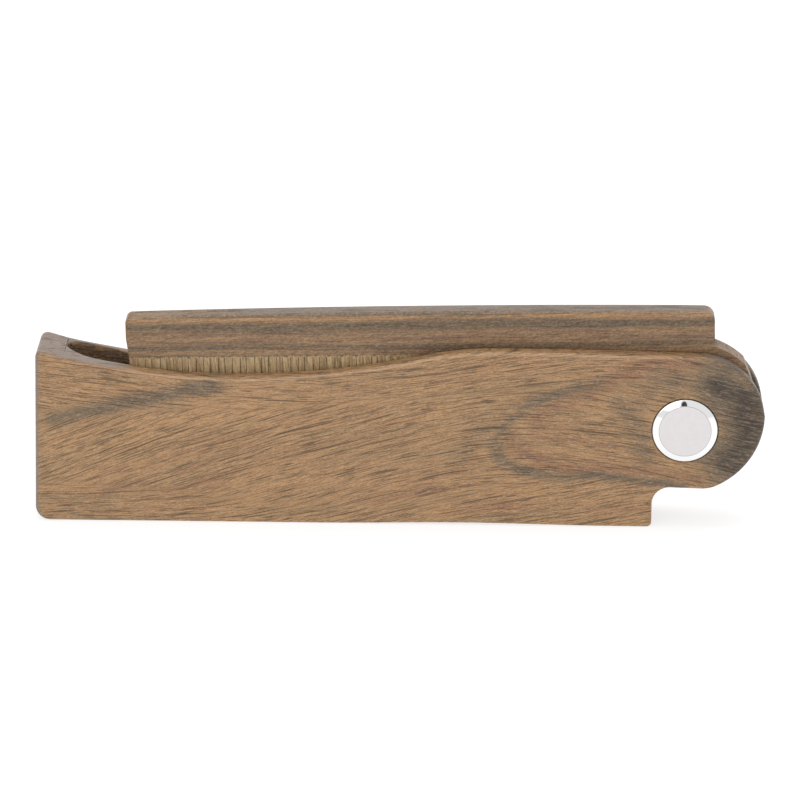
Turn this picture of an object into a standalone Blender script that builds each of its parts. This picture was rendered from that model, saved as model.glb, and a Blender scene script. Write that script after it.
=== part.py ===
"""Folding comb: a wooden comb that swings out of a slotted wooden handle on a metal rivet.

Metres, +Z up. X runs along the handle towards the rivet, -Y is the near cheek, and Z = 0 is the
handle's bottom edge. The comb is shown closed, with its teeth down in the slot.
"""
import math

import bmesh
import bpy
from mathutils import Matrix, Vector

MM = 0.001

# Handle
HANDLE_LENGTH = 120.4 * MM
HANDLE_THICKNESS = 11.2 * MM
HANDLE_EDGE_RADIUS = 0.7 * MM
HANDLE_EDGE_SEGMENTS = 2
END_LEAN = 0.4 * MM
BOTTOM_CORNER_RADIUS = 1.8 * MM
TOP_CORNER_RADIUS = 1.2 * MM
TOP_CORNER_HEIGHT = 28.75 * MM

# Top edge of the cheeks from the left corner to the round end: x and z in millimetres
TOP_EDGE = (
    (-56.9, 29.05),
    (-54.5, 28.4),
    (-49.2, 27.35),
    (-40.8, 26.0),
    (-28.0, 25.2),
    (-15.1, 25.85),
    (-4.0, 27.25),
    (5.4, 29.1),
    (12.5, 30.0),
    (23.0, 30.1),
    (49.9, 29.7),
)
TOP_EDGE_STEPS = 3

# Round end: a smaller arc above and a larger one below, which meet at the far right
ROUND_END_HEIGHT = 19.45 * MM
UPPER_ARC_RADIUS = 10.25 * MM
LOWER_ARC_RADIUS = 13.5 * MM
LOBE_RADIUS = 5.5 * MM
LOBE_BOTTOM = 6.75 * MM

# Cut-away under the round end, where the comb's back lies when the comb is open
COVE_X = 45.65 * MM
COVE_Z = 2.5 * MM
COVE_RADIUS = 4.4 * MM

# Slot for the comb
SLOT_WIDTH = 5.6 * MM
SLOT_FLOOR = 3.4 * MM
SLOT_END_X = -55.1 * MM

# Pivot and rivet
PIVOT_X = 47.1 * MM
PIVOT_Z = 17.05 * MM
POST_RADIUS = 2.5 * MM
BORE_CLEARANCE = 0.3 * MM
HEAD_RADIUS = 5.45 * MM
HEAD_FLAT_RADIUS = 4.3 * MM
HEAD_THICKNESS = 1.0 * MM
HEAD_CHAMFER_HEIGHT = 0.35 * MM
HEAD_PROUD = 0.5 * MM
SEAT_CLEARANCE = 0.3 * MM
CAP_SOCKET_DEPTH = 0.6 * MM
ROUND_STEPS = 32

# Comb, in its own frame: u along its back towards the pivot, w up, both from the pivot
COMB_THICKNESS = 4.6 * MM
COMB_TILT = math.radians(1.3)
BACK_LEFT = -91.9 * MM
BACK_RIGHT = 5.05 * MM
BACK_TOP = 19.3 * MM
BACK_CROWN = 0.45 * MM
BACK_EDGE_RADIUS = 0.8 * MM
BACK_CORNER_RADIUS = 1.0 * MM
BACK_END_RADIUS = 1.7 * MM
ROOT_LINE = 12.25 * MM
SEAM_GAP = 0.3 * MM
LEFT_TAPER = 0.5 * MM

# Tang round the pivot, clockwise from the foot of the back's right end: angle in degrees from
# the comb's +u, and radius in millimetres. The first two rows are one arc round the pivot.
TANG_ARC_RADIUS = 14.3 * MM
TANG_ARC_END = 46.0
TANG_EDGE = (
    (32.5, 13.25),
    (18.0, 12.4),
    (0.0, 11.4),
    (-28.0, 10.4),
    (-60.0, 9.8),
    (-90.0, 9.7),
    (-115.0, 10.0),
    (-142.0, 12.2),
    (-165.0, 15.6),
    (-184.0, 17.8),
)
TANG_STEPS = 2
TANG_LEFT = -18.3 * MM

# Toothed strip
TOOTH_PITCH = 1.2 * MM
ROOT_GAP = 0.3 * MM
TIP_WIDTH = 0.5 * MM
TOOTH_TIP = -11.1 * MM
TOOTH_SHOULDER = 0.7 * MM
STRIP_BAND = 0.3 * MM
ROOT_CROWN = 0.1 * MM
GUARD_WIDTH = 1.4 * MM
TIP_THICKNESS = 2.4 * MM
TAPER_TOP = 7.0 * MM
TONGUE_THICKNESS = 1.8 * MM
TONGUE_HEIGHT = 3.0 * MM

CUT_MARGIN = 2.0 * MM


def clear_scene():
    """Removes every object, so that the script can be run twice."""
    for obj in list(bpy.data.objects):
        bpy.data.objects.remove(obj)


def new_collection(name):
    """Makes a collection in the scene."""
    collection = bpy.data.collections.new(name)
    bpy.context.scene.collection.children.link(collection)
    return collection


def new_material(name, colour, roughness, metallic):
    """Makes a plain material with the part's colour, roughness and metallic value."""
    material = bpy.data.materials.new(name)
    material.use_nodes = True
    shader = material.node_tree.nodes["Principled BSDF"]
    shader.inputs["Base Color"].default_value = (*colour, 1.0)
    shader.inputs["Roughness"].default_value = roughness
    shader.inputs["Metallic"].default_value = metallic
    return material


def arc(centre, radius, start, end, steps):
    """Points along an arc, from one angle in degrees to another."""
    points = []
    for step in range(steps + 1):
        angle = math.radians(start + (end - start) * step / steps)
        points.append((centre[0] + radius * math.cos(angle), centre[1] + radius * math.sin(angle)))
    return points


def smooth_through(rows, steps):
    """Points on a smooth curve that passes through every row."""
    count = len(rows)
    slopes = []
    for index in range(count):
        before = rows[max(index - 1, 0)]
        after = rows[min(index + 1, count - 1)]
        slopes.append((Vector(after) - Vector(before)) / 2)
    points = [tuple(rows[0])]
    for index in range(count - 1):
        start = Vector(rows[index])
        end = Vector(rows[index + 1])
        reach = (end - start).length
        leave = slopes[index].normalized() * reach
        arrive = slopes[index + 1].normalized() * reach
        for step in range(1, steps + 1):
            t = step / steps
            point = (2 * t**3 - 3 * t**2 + 1) * start + (t**3 - 2 * t**2 + t) * leave
            point += (3 * t**2 - 2 * t**3) * end + (t**3 - t**2) * arrive
            points.append(tuple(point))
    return points


def flat_solid(name, outline, thickness, collection):
    """A solid with a flat outline in X and Z, centred on Y = 0, filled at 1 unit to the millimetre."""
    curve = bpy.data.curves.new(name + "_outline", "CURVE")
    curve.dimensions = "2D"
    curve.fill_mode = "BOTH"
    curve.extrude = thickness / MM / 2
    spline = curve.splines.new("POLY")
    spline.points.add(len(outline) - 1)
    for point, (x, z) in zip(spline.points, outline):
        point.co = (x / MM, z / MM, 0, 1)
    spline.use_cyclic_u = True
    guide = bpy.data.objects.new(name + "_guide", curve)
    collection.objects.link(guide)
    depsgraph = bpy.context.evaluated_depsgraph_get()
    mesh = bpy.data.meshes.new_from_object(guide.evaluated_get(depsgraph))
    bpy.data.objects.remove(guide)
    mesh.transform(Matrix.Rotation(math.radians(90), 4, "X") @ Matrix.Scale(MM, 4))
    mesh.name = name
    solid = bmesh.new()
    solid.from_mesh(mesh)
    bmesh.ops.remove_doubles(solid, verts=solid.verts, dist=0.001 * MM)
    bmesh.ops.recalc_face_normals(solid, faces=solid.faces)
    inner = [edge for edge in solid.edges if all(abs(face.normal.y) > 0.99 for face in edge.link_faces)]
    bmesh.ops.dissolve_edges(solid, edges=inner, use_verts=False)
    solid.to_mesh(mesh)
    solid.free()
    obj = bpy.data.objects.new(name, mesh)
    collection.objects.link(obj)
    return obj


def box_solid(name, low, high, collection):
    """A box between two corners."""
    mesh = bpy.data.meshes.new(name)
    solid = bmesh.new()
    bmesh.ops.create_cube(solid, size=1.0)
    size = Vector(high) - Vector(low)
    centre = (Vector(high) + Vector(low)) / 2
    bmesh.ops.scale(solid, vec=size, verts=solid.verts)
    bmesh.ops.translate(solid, vec=centre, verts=solid.verts)
    solid.to_mesh(mesh)
    solid.free()
    obj = bpy.data.objects.new(name, mesh)
    collection.objects.link(obj)
    return obj


def rod_solid(name, radius, low_y, high_y, collection):
    """A cylinder along Y through its object's origin."""
    mesh = bpy.data.meshes.new(name)
    solid = bmesh.new()
    bmesh.ops.create_cone(
        solid, cap_ends=True, segments=ROUND_STEPS, radius1=radius, radius2=radius, depth=high_y - low_y
    )
    bmesh.ops.rotate(solid, matrix=Matrix.Rotation(math.radians(90), 3, "X"), verts=solid.verts)
    bmesh.ops.translate(solid, vec=(0, (low_y + high_y) / 2, 0), verts=solid.verts)
    solid.to_mesh(mesh)
    solid.free()
    obj = bpy.data.objects.new(name, mesh)
    collection.objects.link(obj)
    return obj


def turned_solid(name, profile, collection):
    """A solid turned from radius and height pairs, which run down its outer side."""
    mesh = bpy.data.meshes.new(name)
    solid = bmesh.new()
    verts = [solid.verts.new((radius, 0, height)) for radius, height in profile]
    for start, end in zip(verts, verts[1:]):
        solid.edges.new((start, end))
    solid.to_mesh(mesh)
    solid.free()
    obj = bpy.data.objects.new(name, mesh)
    collection.objects.link(obj)
    screw = obj.modifiers.new("Turn", "SCREW")
    screw.axis = "Z"
    screw.steps = ROUND_STEPS
    screw.render_steps = ROUND_STEPS
    screw.use_merge_vertices = True
    screw.merge_threshold = 0.001 * MM
    screw.use_smooth_shade = True
    return obj


def hide_cutter(cutter):
    """Marks an object as a tool that only shapes others."""
    cutter.hide_render = True
    cutter.display_type = "WIRE"


def combine(obj, other, operation):
    """Adds a Boolean with another object."""
    modifier = obj.modifiers.new(other.name, "BOOLEAN")
    modifier.operation = operation
    modifier.object = other
    hide_cutter(other)


def round_edges(obj, radius, segments):
    """Rounds the edges between an outline and its two faces."""
    bevel = obj.modifiers.new("Rounding", "BEVEL")
    bevel.width = radius
    bevel.segments = segments
    bevel.use_clamp_overlap = False
    bevel.limit_method = "ANGLE"
    bevel.angle_limit = math.radians(60)


def round_marked_edges(obj, radius, segments, is_marked):
    """Rounds the edges along the two faces' outlines whose ends both pass a test on X and Z."""
    mesh = obj.data
    weights = mesh.attributes.new("bevel_weight_edge", "FLOAT", "EDGE")
    for edge in mesh.edges:
        start, end = (mesh.vertices[index].co for index in edge.vertices)
        along_face = start.y * end.y > 0
        if along_face and is_marked(start.x, start.z) and is_marked(end.x, end.z):
            weights.data[edge.index].value = 1.0
    round_edges(obj, radius, segments)
    obj.modifiers["Rounding"].limit_method = "WEIGHT"


def handle_outline():
    """The cheeks' outline, counter-clockwise from the bottom left corner."""
    left = -HANDLE_LENGTH / 2
    right = HANDLE_LENGTH / 2
    low_corner = (left + BOTTOM_CORNER_RADIUS, BOTTOM_CORNER_RADIUS)
    points = arc(low_corner, BOTTOM_CORNER_RADIUS, 180, 270, 4)

    # The cove starts where its circle meets the bottom edge.
    meet = math.degrees(math.asin(COVE_Z / COVE_RADIUS))
    points += arc((COVE_X, COVE_Z), COVE_RADIUS, 180 + meet, 90, 10)

    # The lobe lies inside the lower arc and touches it.
    lower_centre = (right - LOWER_ARC_RADIUS, ROUND_END_HEIGHT)
    lobe_z = LOBE_BOTTOM + LOBE_RADIUS
    drop = lower_centre[1] - lobe_z
    reach = LOWER_ARC_RADIUS - LOBE_RADIUS
    touch = -math.degrees(math.asin(drop / reach))
    lobe_x = lower_centre[0] + reach * math.cos(math.radians(touch))
    points += arc((lobe_x, lobe_z), LOBE_RADIUS, -90, touch, 2)
    points += arc(lower_centre, LOWER_ARC_RADIUS, touch, 0, 10)[1:]
    upper_centre = (right - UPPER_ARC_RADIUS, ROUND_END_HEIGHT)
    points += arc(upper_centre, UPPER_ARC_RADIUS, 0, 90, 12)[1:-1]

    top = [(x * MM, z * MM) for x, z in TOP_EDGE]
    points += reversed(smooth_through(top, TOP_EDGE_STEPS))
    high_corner = (left + END_LEAN + TOP_CORNER_RADIUS, TOP_CORNER_HEIGHT)
    points += arc(high_corner, TOP_CORNER_RADIUS, 75, 180, 5)
    return points


def slot_cutter(collection):
    """The slot, open at the top and at the round end, with a round left end."""
    right = HANDLE_LENGTH / 2 + CUT_MARGIN
    radius = SLOT_WIDTH / 2
    plan = [(right, -radius), (right, radius)]
    plan += arc((SLOT_END_X + radius, 0), radius, 90, 270, 12)
    top = max(z for x, z in TOP_EDGE) * MM + CUT_MARGIN
    cutter = flat_solid("slot_cutter", plan, top - SLOT_FLOOR, collection)
    cutter.data.transform(Matrix.Rotation(math.radians(-90), 4, "X"))
    cutter.location = (0, 0, (top + SLOT_FLOOR) / 2)
    return cutter


def make_handle(parts, cutters, wood):
    """The slotted handle with its bore and the seats of the rivet's heads."""
    handle = flat_solid("handle", handle_outline(), HANDLE_THICKNESS, parts)
    handle.data.materials.append(wood)
    round_edges(handle, HANDLE_EDGE_RADIUS, HANDLE_EDGE_SEGMENTS)
    combine(handle, slot_cutter(cutters), "DIFFERENCE")
    half = HANDLE_THICKNESS / 2
    seat_depth = HEAD_THICKNESS - HEAD_PROUD + SEAT_CLEARANCE
    seat_radius = HEAD_RADIUS + SEAT_CLEARANCE
    bore_radius = POST_RADIUS + BORE_CLEARANCE
    cuts = (
        ("handle_bore", bore_radius, -half - CUT_MARGIN, half + CUT_MARGIN),
        ("near_seat", seat_radius, -half - CUT_MARGIN, -half + seat_depth),
        ("far_seat", seat_radius, half - seat_depth, half + CUT_MARGIN),
    )
    for name, radius, low_y, high_y in cuts:
        cutter = rod_solid(name, radius, low_y, high_y, cutters)
        cutter.location = (PIVOT_X, 0, PIVOT_Z)
        combine(handle, cutter, "DIFFERENCE")
    return handle


def make_rivet(parts, metal):
    """The near head with the post, turned about the pivot's axis."""
    outer = HANDLE_THICKNESS / 2 + HEAD_PROUD
    inner = outer - HEAD_THICKNESS
    post_end = -(inner + CAP_SOCKET_DEPTH - SEAT_CLEARANCE)
    profile = (
        (0, outer),
        (HEAD_FLAT_RADIUS, outer),
        (HEAD_RADIUS, outer - HEAD_CHAMFER_HEIGHT),
        (HEAD_RADIUS, inner),
        (POST_RADIUS, inner),
        (POST_RADIUS, post_end),
        (0, post_end),
    )
    rivet = turned_solid("rivet", profile, parts)
    rivet.data.materials.append(metal)
    rivet.location = (PIVOT_X, 0, PIVOT_Z)
    rivet.rotation_euler = (math.radians(90), 0, 0)
    return rivet


def make_rivet_cap(parts, metal):
    """The far head, with a shallow socket for the end of the post."""
    outer = HANDLE_THICKNESS / 2 + HEAD_PROUD
    inner = outer - HEAD_THICKNESS
    socket = POST_RADIUS + BORE_CLEARANCE
    profile = (
        (0, outer),
        (HEAD_FLAT_RADIUS, outer),
        (HEAD_RADIUS, outer - HEAD_CHAMFER_HEIGHT),
        (HEAD_RADIUS, inner),
        (socket, inner),
        (socket, inner + CAP_SOCKET_DEPTH),
        (0, inner + CAP_SOCKET_DEPTH),
    )
    cap = turned_solid("rivet_cap", profile, parts)
    cap.data.materials.append(metal)
    cap.location = (PIVOT_X, 0, PIVOT_Z)
    cap.rotation_euler = (math.radians(-90), 0, 0)
    return cap


def back_top(u):
    """Height of the comb's crowned back at u."""
    middle = (BACK_LEFT + BACK_RIGHT) / 2
    half = (BACK_RIGHT - BACK_LEFT) / 2
    return BACK_TOP + BACK_CROWN * (1 - ((u - middle) / half) ** 2)


def spine_outline():
    """The back and the tang as one outline, clockwise from the back's left foot."""
    foot = ROOT_LINE + SEAM_GAP / 2
    points = [(BACK_LEFT + LEFT_TAPER, foot), (BACK_LEFT, foot + (BACK_TOP - foot) / 2)]
    left_corner = (BACK_LEFT + BACK_CORNER_RADIUS, back_top(BACK_LEFT) - BACK_CORNER_RADIUS)
    points += arc(left_corner, BACK_CORNER_RADIUS, 180, 90, 4)
    span = BACK_RIGHT - BACK_LEFT - BACK_CORNER_RADIUS - BACK_END_RADIUS
    for step in range(1, 8):
        u = BACK_LEFT + BACK_CORNER_RADIUS + span * step / 8
        points.append((u, back_top(u)))
    right_corner = (BACK_RIGHT - BACK_END_RADIUS, back_top(BACK_RIGHT) - BACK_END_RADIUS)
    points += arc(right_corner, BACK_END_RADIUS, 90, 0, 5)

    arc_start = math.degrees(math.acos(BACK_RIGHT / TANG_ARC_RADIUS))
    points += arc((0, 0), TANG_ARC_RADIUS, arc_start, TANG_ARC_END, 5)
    edge = [points[-1]]
    for angle, radius in TANG_EDGE:
        turn = math.radians(angle)
        edge.append((radius * MM * math.cos(turn), radius * MM * math.sin(turn)))
    points += smooth_through(edge, TANG_STEPS)[1:]
    points.append((TANG_LEFT, foot))
    return points


def is_on_back(u, w):
    """Whether a point is on the ends or the top of the back, above the seam and the tang."""
    return w > ROOT_LINE + SEAM_GAP and u < BACK_RIGHT + SEAM_GAP


def make_comb_spine(parts, cutters, wood, pivot):
    """The back bar and tang, grooved along its foot for the toothed strip."""
    spine = flat_solid("comb_spine", spine_outline(), COMB_THICKNESS, parts)
    spine.data.materials.append(wood)
    round_marked_edges(spine, BACK_EDGE_RADIUS, 2, is_on_back)
    groove_half = TONGUE_THICKNESS / 2 + SEAM_GAP
    foot = ROOT_LINE + SEAM_GAP / 2
    low = (BACK_LEFT - CUT_MARGIN, -groove_half, foot - CUT_MARGIN)
    high = (TANG_LEFT, groove_half, foot + TONGUE_HEIGHT)
    cuts = (
        box_solid("groove_cutter", low, high, cutters),
        rod_solid("tang_bore", POST_RADIUS + BORE_CLEARANCE, -COMB_THICKNESS, COMB_THICKNESS, cutters),
    )
    for cutter in cuts:
        cutter.parent = pivot
        combine(spine, cutter, "DIFFERENCE")
    spine.parent = pivot
    return spine


def teeth_outline():
    """The strip's outline: a thin band along the top, with a tapered gap at each pitch below it."""
    top = ROOT_LINE - SEAM_GAP / 2
    left = BACK_LEFT + LEFT_TAPER
    right = TANG_LEFT - SEAM_GAP
    shoulder = TOOTH_TIP + TOOTH_SHOULDER
    tip_inset = TIP_WIDTH * 0.3
    half_root = ROOT_GAP / 2
    half_tip = (TOOTH_PITCH - TIP_WIDTH) / 2
    first = left + GUARD_WIDTH + half_root
    count = int((right - GUARD_WIDTH - first) / TOOTH_PITCH) + 1
    middle = (left + right) / 2

    points = [(right, top), (left, top)]
    points += [(left + LEFT_TAPER, shoulder), (left + LEFT_TAPER + tip_inset, TOOTH_TIP)]
    for index in range(count):
        centre = first + index * TOOTH_PITCH
        crown = ROOT_CROWN * ((centre - middle) / (right - middle)) ** 2
        root = top - STRIP_BAND - crown
        points.append((centre - half_tip - tip_inset, TOOTH_TIP))
        points.append((centre - half_tip, shoulder))
        points.append((centre - half_root, root - half_root))
        points.append((centre, root))
        points.append((centre + half_root, root - half_root))
        points.append((centre + half_tip, shoulder))
        points.append((centre + half_tip + tip_inset, TOOTH_TIP))
    points += [(right - tip_inset, TOOTH_TIP), (right, shoulder)]
    return points


def make_comb_teeth(parts, cutters, wood, pivot):
    """The toothed strip with its tongue, thinned towards the tips."""
    teeth = flat_solid("comb_teeth", teeth_outline(), COMB_THICKNESS, parts)
    teeth.data.materials.append(wood)
    top = ROOT_LINE - SEAM_GAP / 2
    half = COMB_THICKNESS / 2 + CUT_MARGIN
    side = (
        (-half, top + CUT_MARGIN),
        (-half, TAPER_TOP + CUT_MARGIN),
        (-COMB_THICKNESS / 2, TAPER_TOP),
        (-TIP_THICKNESS / 2, TOOTH_TIP - CUT_MARGIN),
        (TIP_THICKNESS / 2, TOOTH_TIP - CUT_MARGIN),
        (COMB_THICKNESS / 2, TAPER_TOP),
        (half, TAPER_TOP + CUT_MARGIN),
        (half, top + CUT_MARGIN),
    )
    reach = 2 * -BACK_LEFT
    wedge = flat_solid("teeth_taper", side, reach, cutters)
    wedge.data.transform(Matrix.Rotation(math.radians(90), 4, "Z"))
    wedge.parent = pivot
    combine(teeth, wedge, "INTERSECT")
    tongue_half = TONGUE_THICKNESS / 2
    low = (BACK_LEFT + LEFT_TAPER + SEAM_GAP, -tongue_half, top - STRIP_BAND / 2)
    high = (TANG_LEFT - 2 * SEAM_GAP, tongue_half, top + TONGUE_HEIGHT)
    tongue = box_solid("tongue", low, high, cutters)
    tongue.parent = pivot
    combine(teeth, tongue, "UNION")
    teeth.parent = pivot
    return teeth


def main():
    """Builds the comb in its handle."""
    clear_scene()
    parts = new_collection("folding_comb")
    cutters = new_collection("cutters")
    handle_wood = new_material("handle_wood", (0.30, 0.19, 0.11), 0.5, 0.0)
    spine_wood = new_material("spine_wood", (0.22, 0.14, 0.09), 0.5, 0.0)
    teeth_wood = new_material("teeth_wood", (0.38, 0.27, 0.14), 0.55, 0.0)
    bright_metal = new_material("bright_metal", (0.82, 0.81, 0.82), 0.2, 1.0)

    pivot = bpy.data.objects.new("comb_pivot", None)
    pivot.location = (PIVOT_X, 0, PIVOT_Z)
    pivot.rotation_euler = (0, -COMB_TILT, 0)
    parts.objects.link(pivot)

    make_handle(parts, cutters, handle_wood)
    make_rivet(parts, bright_metal)
    make_rivet_cap(parts, bright_metal)
    make_comb_spine(parts, cutters, spine_wood, pivot)
    make_comb_teeth(parts, cutters, teeth_wood, pivot)


main()
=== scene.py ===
"""Looks of the folding comb: its wood, its teeth and its bright rivet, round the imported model.

Metres, +Z up. X runs along the handle towards the rivet and -Y is the near cheek, which the camera sees.
"""
import math

import bmesh
import bpy
import numpy as np
from mathutils import Matrix, Vector


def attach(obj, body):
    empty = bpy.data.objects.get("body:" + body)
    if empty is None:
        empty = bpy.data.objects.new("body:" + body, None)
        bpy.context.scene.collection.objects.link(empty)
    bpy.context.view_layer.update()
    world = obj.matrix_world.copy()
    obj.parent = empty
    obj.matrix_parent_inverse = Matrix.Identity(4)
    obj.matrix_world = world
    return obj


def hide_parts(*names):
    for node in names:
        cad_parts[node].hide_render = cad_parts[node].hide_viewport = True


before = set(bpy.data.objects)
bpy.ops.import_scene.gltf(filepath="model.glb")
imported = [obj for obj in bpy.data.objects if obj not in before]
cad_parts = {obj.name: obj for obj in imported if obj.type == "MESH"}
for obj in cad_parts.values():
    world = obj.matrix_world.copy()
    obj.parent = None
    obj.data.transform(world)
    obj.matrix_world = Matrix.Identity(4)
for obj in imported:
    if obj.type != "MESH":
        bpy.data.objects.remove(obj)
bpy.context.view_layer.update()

MM = 0.001

# Camera: the view in the photograph, 800 pixels square
CAMERA_AZIMUTH = 0.94
CAMERA_ELEVATION = 18.39
CAMERA_ROLL = 0.36
CAMERA_DISTANCE = 0.74
CAMERA_FOCUS_PX = 4503.0
CAMERA_TARGET = (0.18 * MM, -5.6 * MM, 21.78 * MM)
PHOTO_PX = 800
SENSOR = 36.0

# Studio: a glowing floor, an even sky, and a dark lens by the camera, which the rivet's chamfer reflects
FLOOR_SIZE = 6.0
FLOOR_GREY = 0.36
FLOOR_GLOW = 0.72
SKY_STRENGTH = 0.85
LENS_RADIUS = 0.05
LENS_DEPTH = 0.01
LENS_PLACE = (0.0576, -0.721, 0.247)
LENS_TILT = 75

# Softboxes, aimed at one point: name, place, size and power
SOFTBOX_TARGET = (0.0, 0.0, 0.02)
SOFTBOXES = (
    ("top_softbox", (0.0, 0.1, 0.6), 0.5, 1.2),
    ("front_softbox", (-0.3, -0.8, 0.45), 0.6, 1.5),
)

# Handle
HANDLE_LENGTH = 120.4 * MM
HANDLE_THICKNESS = 11.2 * MM
HANDLE_EDGE_RADIUS = 0.7 * MM
SLOT_EDGE_RADIUS = 0.35 * MM
END_LEAN = 0.4 * MM
BOTTOM_CORNER_RADIUS = 2.4 * MM
TOP_CORNER_RADIUS = 1.2 * MM
TOP_CORNER_HEIGHT = 28.3 * MM
HANDLE_TOP = 30.2 * MM
HANDLE_GRID = (1.5 * MM, 0.75 * MM)

# Top edge of the cheeks from the left corner to the round end: x and z in millimetres
TOP_EDGE = (
    (-56.9, 29.05),
    (-54.5, 28.4),
    (-49.2, 27.35),
    (-40.8, 26.0),
    (-28.0, 25.2),
    (-15.1, 25.85),
    (-4.0, 27.25),
    (5.4, 29.1),
    (12.5, 30.0),
    (23.0, 30.1),
    (49.0, 29.7),
)

# Round end and the cut-away under it
ROUND_END_HEIGHT = 19.45 * MM
UPPER_ARC_TOP = 29.7 * MM
UPPER_ARC_RADIUS = 11.2 * MM
LOWER_ARC_RADIUS = 13.5 * MM
LOBE_RADIUS = 5.5 * MM
LOBE_BOTTOM = 6.75 * MM
COVE_X = 44.85 * MM
COVE_Z = 4.0 * MM
COVE_RADIUS = 2.9 * MM
STEP_ROUNDING = 0.8 * MM

# Low arch in the bottom edge: from x, to x and height in millimetres
BOTTOM_ARCH = (-14.0, 36.0, 0.3)

# Slot: x and y of the far wall, then of the near wall, at its lens-shaped left end, in millimetres
SLOT_FAR = (
    (-42.0, 2.8),
    (-45.0, 3.6),
    (-48.2, 4.0),
    (-51.3, 4.25),
    (-53.3, 4.1),
    (-54.4, 3.5),
    (-54.9, 2.8),
)
SLOT_NEAR = (
    (-55.1, 1.9),
    (-54.9, 0.8),
    (-54.3, -0.3),
    (-53.2, -1.4),
    (-52.0, -2.15),
    (-50.5, -2.65),
    (-48.5, -2.8),
)
SLOT_WIDTH = 5.6 * MM
SLOT_FLOOR = 3.4 * MM
SLOT_END_X = -55.1 * MM

# Where the slot's walls get painted shade, in millimetres: how far past its walls, and past them at its
# lens-shaped end, how far below the cheeks' top edge, and from which x on at every height
DARK_PAST_WALL = 0.05
DARK_PAST_LEFT_WALL = 1.6
DARK_BELOW = 0.4
DARK_RIGHT_OF = 46

# Pivot and rivet
PIVOT_X = 47.1 * MM
PIVOT_Z = 17.05 * MM
POST_RADIUS = 2.5 * MM
BORE_CLEARANCE = 0.3 * MM
HEAD_RADIUS = 5.35 * MM
HEAD_FLAT_RADIUS = 4.3 * MM
HEAD_THICKNESS = 1.0 * MM
HEAD_CHAMFER_HEIGHT = 0.35 * MM
HEAD_PROUD = 0.5 * MM
SEAT_CLEARANCE = 0.18 * MM
POST_PAST_HEAD = 0.3 * MM
SOCKET_DEPTH = 0.6 * MM

# Comb, in its own frame: u along its back towards the pivot, w up, both from the pivot
COMB_THICKNESS = 4.6 * MM
COMB_TILT = math.radians(1.3)
BACK_LEFT = -91.9 * MM
BACK_RIGHT = 5.05 * MM
BACK_TOP = 19.3 * MM
BACK_CROWN = 0.45 * MM
BACK_EDGE_RADIUS = 0.8 * MM
BACK_CORNER_RADIUS = 1.0 * MM
BACK_END_RADIUS = 1.7 * MM
ROOT_LINE = 12.65 * MM
LEFT_TAPER = 0.5 * MM
TANG_ARC_RADIUS = 14.3 * MM
TANG_ARC_END = 46.0
SPINE_GRID = (2.0 * MM, 1.0 * MM)
SPINE_LOW = (-46.0 * MM, 0, 7.0 * MM)
SPINE_HIGH = (60.2 * MM, 0, 37.0 * MM)
TANG_LEFT = -18.3 * MM

# Edge of the tang round the pivot: angle in degrees and distance from the pivot in millimetres
TANG_EDGE = (
    (32.5, 13.25),
    (18.0, 12.4),
    (0.0, 11.4),
    (-28.0, 10.4),
    (-60.0, 9.8),
    (-90.0, 9.7),
    (-115.0, 10.0),
    (-142.0, 12.2),
    (-165.0, 15.6),
    (-184.0, 17.8),
)

# Teeth
TOOTH_PITCH = 1.2 * MM
ROOT_GAP = 0.03 * MM
GAP_JITTER = 0.12 * MM
TIP_WIDTH = 0.5 * MM
TOOTH_TIP = -11.1 * MM
GUARD_WIDTH = 1.4 * MM
TIP_THICKNESS = 2.4 * MM
TAPER_TOP = 7.0 * MM
TANG_GAP = 0.3 * MM
ROOT_BAND = 0.35 * MM
TOOTH_CORNER = 0.12 * MM
TOOTH_ROWS = 10
TOOTH_CURVE = 1.6
TIP_ROUNDING = (0.45, 0.8)

# Grain of the handle: how steeply the lines of each field rise at every X of GRAIN_X, in millimetres,
# and GRAIN_LIFT, how steeply they rise through the handle's thickness
GRAIN_X = (-60, -45, -30, -15, 0, 15, 30, 45, 60)
UPPER_RISE = (-0.07, -0.12, -0.07, 0.03, 0.14, 0.19, 0.10, -0.15, -0.35)
MAIN_RISE = (0.40, 0.38, 0.33, 0.31, 0.29, 0.10, -0.11, -0.20, -0.27)
LOW_RISE = (0.02, 0.05, 0.13, 0.22, 0.27, 0.19, 0.19, 0.15, 0.05)
GRAIN_LIFT = 0.3

# Heights at which the fields meet at every X of GRAIN_X, in millimetres
UPPER_FROM = (19.0, 19.5, 20.0, 20.5, 22.0, 23.5, 23.5, 26.5, 31.0)
LOW_UNTIL = (6.5, 6.0, 4.5, 3.0, 3.0, 6.5, 9.3, 8.0, 3.0)
FIELD_BLEND = 1.3

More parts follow.
